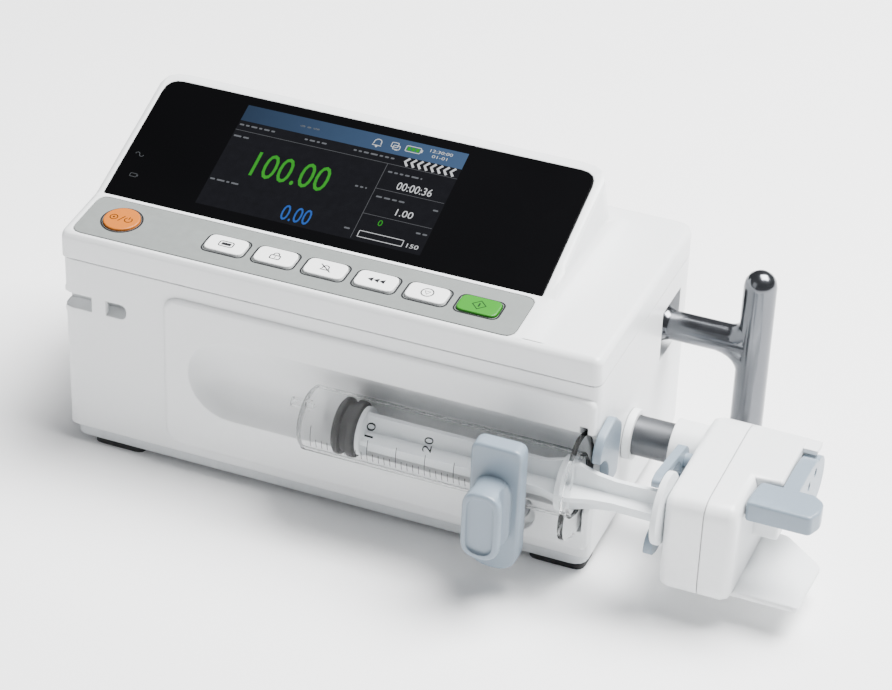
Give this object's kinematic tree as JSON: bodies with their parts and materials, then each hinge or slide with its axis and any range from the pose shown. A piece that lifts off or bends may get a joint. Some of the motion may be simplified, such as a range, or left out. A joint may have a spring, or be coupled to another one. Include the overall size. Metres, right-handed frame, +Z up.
{
  "type": "syringe pump",
  "caption": "Bench-top syringe infusion pump with a sloping screen and keypad, a loaded syringe in a front trough, a barrel clamp and a sliding pusher head.",
  "frame": {"origin": "centre of the bounding box's bottom face, on the surface that the rubber feet stand on", "axes": "+X along the syringe from its tip to the pusher head, +Y from the front (keypad and syringe side) to the back, +Z up"},
  "size_m": [0.3079, 0.1534, 0.1237],
  "materials": {
    "white_plastic": "white moulded plastic with a fine grain",
    "grey_plastic": "grey moulded plastic",
    "clamp_plastic": "blue-grey moulded plastic, satin",
    "black_plastic": "black moulded plastic",
    "screen_glass": "glossy black screen cover with a lit display behind it",
    "keypad_film": "light grey printed film",
    "key_white": "white key cap with a dark outline and symbol",
    "key_orange": "orange key cap with a brown power symbol",
    "key_green": "green key cap with a dark symbol",
    "rubber": "black rubber",
    "chrome": "polished plating",
    "steel": "plain machined steel",
    "aluminium": "plain aluminium",
    "drive_tube": "grey anodised tube",
    "brass": "machined brass",
    "circuit_board": "green circuit board",
    "clear_plastic": "clear polypropylene with printed black graduations"
  },
  "bodies": {
    "housing": {"base_tray": "grey_plastic", "battery_cover": "grey_plastic", "lower_housing": "white_plastic", "upper_housing": "white_plastic", "foot_front_left": "rubber", "foot_front_right": "rubber", "foot_rear_left": "rubber", "foot_rear_right": "rubber", "base_screw_front_left": "steel", "base_screw_front_right": "steel", "base_screw_rear_left": "steel", "base_screw_rear_right": "steel", "display_window": "screen_glass", "lcd_module": "black_plastic", "keypad_inlay": "keypad_film", "keypad_board": "circuit_board", "tube_bush": "white_plastic", "flange_holder": "clamp_plastic", "carry_handle": "chrome", "mains_inlet": "black_plastic", "data_port": "black_plastic", "main_board": "circuit_board", "power_board": "circuit_board", "battery_pack": "black_plastic", "speaker": "black_plastic", "drive_frame": "aluminium", "guide_rod": "steel", "stepper_motor": "black_plastic", "screw_bearing_left": "steel", "screw_bearing_right": "steel", "syringe_barrel": "clear_plastic", "clamp_spring": "steel"},
    "pusher": {"drive_tube": "drive_tube", "carriage": "aluminium", "head_shell_left": "white_plastic", "head_shell_right": "white_plastic", "force_sensor": "steel", "syringe_plunger": "clear_plastic", "syringe_stopper": "rubber"},
    "lever": {"release_lever": "clamp_plastic", "clutch_shaft": "steel", "lever_gear": "brass", "lever_screw_1": "steel", "lever_screw_2": "steel"},
    "claw_upper": {"upper_claw": "clamp_plastic"},
    "claw_lower": {"lower_claw": "clamp_plastic"},
    "nut": {"half_nut": "brass"},
    "screw": {"lead_screw": "steel", "screw_gear": "brass"},
    "rotor": {"motor_pinion": "brass"},
    "slider": {"clamp_slider": "black_plastic"},
    "clamp": {"barrel_clamp": "clamp_plastic", "clamp_stem": "steel"},
    "key_power": {"key_power": "key_orange"},
    "key_menu": {"key_menu": "key_white"},
    "key_lock": {"key_lock": "key_white"},
    "key_mute": {"key_mute": "key_white"},
    "key_fast": {"key_fast": "key_white"},
    "key_stop": {"key_stop": "key_white"},
    "key_start": {"key_start": "key_green"}
  },
  "joints": [
    {"name": "pusher_slide", "type": "slide", "parent": "housing", "child": "pusher", "axis": [1, 0, 0], "range_m": [-0.009, 0.06]},
    {"name": "release_lever_turn", "type": "hinge", "parent": "pusher", "child": "lever", "pos_m": [0.136, 0.00355, 0.0405], "axis": [1, 0, 0], "range_deg": [0, 15], "stiffness_Nm_per_rad": 0.6, "springref_deg": -20.05},
    {"name": "upper_claw_turn", "type": "hinge", "parent": "pusher", "child": "claw_upper", "pos_m": [0.094, -0.01342, 0.0465], "axis": [1, 0, 0], "range_deg": [-30, 0]},
    {"name": "lower_claw_turn", "type": "hinge", "parent": "pusher", "child": "claw_lower", "pos_m": [0.094, -0.01342, 0.0345], "axis": [1, 0, 0], "range_deg": [0, 30]},
    {"name": "half_nut_drop", "type": "slide", "parent": "pusher", "child": "nut", "axis": [0, 0, -1], "range_m": [0, 0.00415]},
    {"name": "lead_screw_turn", "type": "hinge", "parent": "housing", "child": "screw", "pos_m": [-0.014, -0.01135, 0.06], "axis": [1, 0, 0], "continuous": true},
    {"name": "motor_turn", "type": "hinge", "parent": "housing", "child": "rotor", "pos_m": [-0.087, 0.00965, 0.06], "axis": [1, 0, 0], "continuous": true},
    {"name": "clamp_pull", "type": "slide", "parent": "housing", "child": "slider", "axis": [0, -1, 0], "range_m": [0, 0.02], "stiffness_N_per_m": 200, "springref_m": -0.01, "deforming": ["clamp_spring"]},
    {"name": "clamp_turn", "type": "hinge", "parent": "slider", "child": "clamp", "pos_m": [0.0385, -0.03765, 0.0225], "axis": [0, -1, 0], "range_deg": [0, 90]},
    {"name": "key_power_press", "type": "slide", "parent": "housing", "child": "key_power", "axis": [0, 0.0889, -0.996], "range_m": [0, 0.0008], "stiffness_N_per_m": 1500, "springref_m": -0.0003},
    {"name": "key_menu_press", "type": "slide", "parent": "housing", "child": "key_menu", "axis": [0, 0.0889, -0.996], "range_m": [0, 0.0008], "stiffness_N_per_m": 1500, "springref_m": -0.0003},
    {"name": "key_lock_press", "type": "slide", "parent": "housing", "child": "key_lock", "axis": [0, 0.0889, -0.996], "range_m": [0, 0.0008], "stiffness_N_per_m": 1500, "springref_m": -0.0003},
    {"name": "key_mute_press", "type": "slide", "parent": "housing", "child": "key_mute", "axis": [0, 0.0889, -0.996], "range_m": [0, 0.0008], "stiffness_N_per_m": 1500, "springref_m": -0.0003},
    {"name": "key_fast_press", "type": "slide", "parent": "housing", "child": "key_fast", "axis": [0, 0.0889, -0.996], "range_m": [0, 0.0008], "stiffness_N_per_m": 1500, "springref_m": -0.0003},
    {"name": "key_stop_press", "type": "slide", "parent": "housing", "child": "key_stop", "axis": [0, 0.0889, -0.996], "range_m": [0, 0.0008], "stiffness_N_per_m": 1500, "springref_m": -0.0003},
    {"name": "key_start_press", "type": "slide", "parent": "housing", "child": "key_start", "axis": [0, 0.0889, -0.996], "range_m": [0, 0.0008], "stiffness_N_per_m": 1500, "springref_m": -0.0003}
  ],
  "couplings": [
    {"joint": "upper_claw_turn", "follows": "release_lever_turn", "ratio": -2},
    {"joint": "lower_claw_turn", "follows": "release_lever_turn", "ratio": 2},
    {"joint": "half_nut_drop", "follows": "release_lever_turn", "m_per_rad": 0.01582},
    {"joint": "motor_turn", "follows": "lead_screw_turn", "ratio": -2.5}
  ]
}
